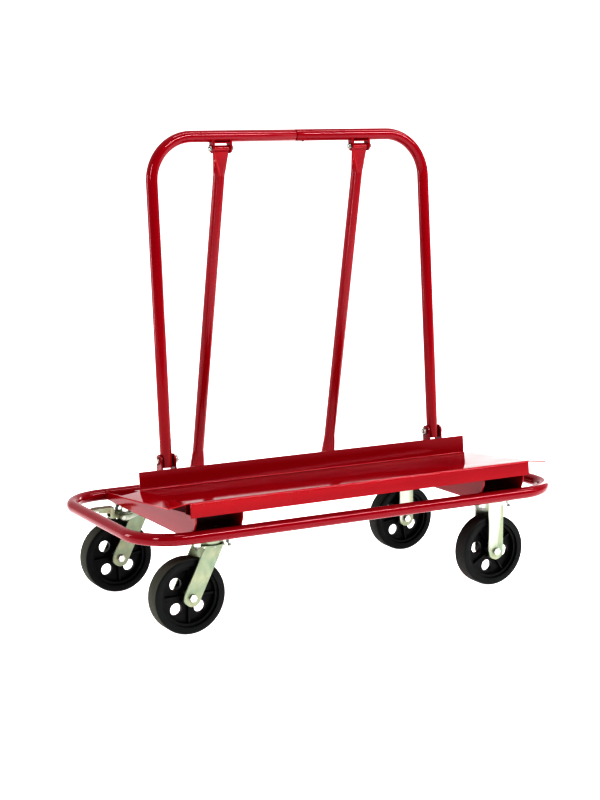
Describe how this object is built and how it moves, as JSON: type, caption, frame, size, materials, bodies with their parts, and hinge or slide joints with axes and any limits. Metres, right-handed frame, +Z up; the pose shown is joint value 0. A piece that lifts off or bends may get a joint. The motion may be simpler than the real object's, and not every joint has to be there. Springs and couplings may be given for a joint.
{
  "type": "panel cart",
  "caption": "Low steel panel cart: sloped deck with an upstand in a tubular bumper loop, a strutted folding backrest hoop and four wheeled casters.",
  "frame": {"origin": "on the floor, under the middle of the bumper loop", "axes": "+X along the cart towards the fixed casters, +Y towards the back behind the upstand, +Z up"},
  "size_m": [1.338, 0.642, 1.3015],
  "materials": {
    "frame_red": "gloss",
    "deck_red": "gloss",
    "hoop_red": "gloss",
    "strut_red": "gloss",
    "zinc": "yellow-green zinc plate",
    "caster_steel": "satin",
    "bolt_steel": "bright zinc",
    "sleeve_steel": "turned",
    "wheel_core": "moulded",
    "tyre": "matte",
    "shoe_rubber": "matte"
  },
  "bodies": {
    "frame": {"bumper_loop": "frame_red", "cross_members": "frame_red", "deck": "deck_red", "deck_rails": "frame_red", "hoop_lugs": "frame_red", "hoop_pivot_bolts": "bolt_steel", "hoop_pivot_nuts": "bolt_steel", "anchor_lugs": "frame_red", "anchor_bolts": "bolt_steel", "anchor_nuts": "bolt_steel", "swivel_plates": "zinc", "kingpins": "caster_steel", "kingpin_nuts": "caster_steel", "rigid_forks": "zinc", "caster_bolts": "bolt_steel", "caster_nuts": "bolt_steel", "rigid_axles": "bolt_steel", "rigid_sleeves": "sleeve_steel", "rigid_axle_nuts": "bolt_steel"},
    "hoop": {"hoop_left": "hoop_red", "hoop_right": "hoop_red", "hoop_joint_screw": "bolt_steel", "strut_lugs": "frame_red", "strut_bolts": "bolt_steel", "strut_nuts": "bolt_steel"},
    "left_strut": {"strut_left": "strut_red"},
    "right_strut": {"strut_right": "strut_red"},
    "near_left_caster": {"near_left_fork": "zinc", "near_left_axle": "bolt_steel", "near_left_sleeve": "sleeve_steel", "near_left_axle_nut": "bolt_steel"},
    "far_left_caster": {"far_left_fork": "zinc", "far_left_axle": "bolt_steel", "far_left_sleeve": "sleeve_steel", "far_left_axle_nut": "bolt_steel", "brake_pin": "caster_steel"},
    "near_left_wheel": {"near_left_core": "wheel_core", "near_left_tyre": "tyre"},
    "far_left_wheel": {"far_left_core": "wheel_core", "far_left_tyre": "tyre"},
    "near_right_wheel": {"near_right_core": "wheel_core", "near_right_tyre": "tyre"},
    "far_right_wheel": {"far_right_core": "wheel_core", "far_right_tyre": "tyre"},
    "brake": {"brake_pedal": "zinc", "brake_shoe": "shoe_rubber"}
  },
  "joints": [
    {"name": "hoop_fold", "type": "hinge", "parent": "frame", "child": "hoop", "pos_m": [0, 0.04201, 0.40517], "axis": [1, 0, 0], "range_deg": [0, 95]},
    {"name": "left_strut_pivot", "type": "hinge", "parent": "hoop", "child": "left_strut", "pos_m": [-0.222, 0.10117, 1.2511], "axis": [1, 0, 0], "range_deg": [-16.28, 0]},
    {"name": "right_strut_pivot", "type": "hinge", "parent": "hoop", "child": "right_strut", "pos_m": [0.222, 0.10117, 1.2511], "axis": [1, 0, 0], "range_deg": [-16.28, 0]},
    {"name": "near_left_swivel", "type": "hinge", "parent": "frame", "child": "near_left_caster", "pos_m": [-0.446, -0.241, 0.24], "axis": [0, 0, 1], "continuous": true},
    {"name": "near_left_roll", "type": "hinge", "parent": "near_left_caster", "child": "near_left_wheel", "pos_m": [-0.511, -0.241, 0.1016], "axis": [0, 1, 0], "continuous": true},
    {"name": "far_left_swivel", "type": "hinge", "parent": "frame", "child": "far_left_caster", "pos_m": [-0.446, 0.241, 0.24], "axis": [0, 0, 1], "continuous": true},
    {"name": "far_left_roll", "type": "hinge", "parent": "far_left_caster", "child": "far_left_wheel", "pos_m": [-0.511, 0.241, 0.1016], "axis": [0, 1, 0], "continuous": true},
    {"name": "near_right_roll", "type": "hinge", "parent": "frame", "child": "near_right_wheel", "pos_m": [0.446, -0.241, 0.1016], "axis": [0, 1, 0], "continuous": true},
    {"name": "far_right_roll", "type": "hinge", "parent": "frame", "child": "far_right_wheel", "pos_m": [0.446, 0.241, 0.1016], "axis": [0, 1, 0], "continuous": true},
    {"name": "brake_press", "type": "hinge", "parent": "far_left_caster", "child": "brake", "pos_m": [-0.5, 0.241, 0.218], "axis": [0, 1, 0], "range_deg": [-8.5, 0]}
  ],
  "couplings": [
    {"joint": "left_strut_pivot", "follows": "hoop_fold", "ratio": -0.1693},
    {"joint": "right_strut_pivot", "follows": "hoop_fold", "ratio": -0.1693}
  ]
}
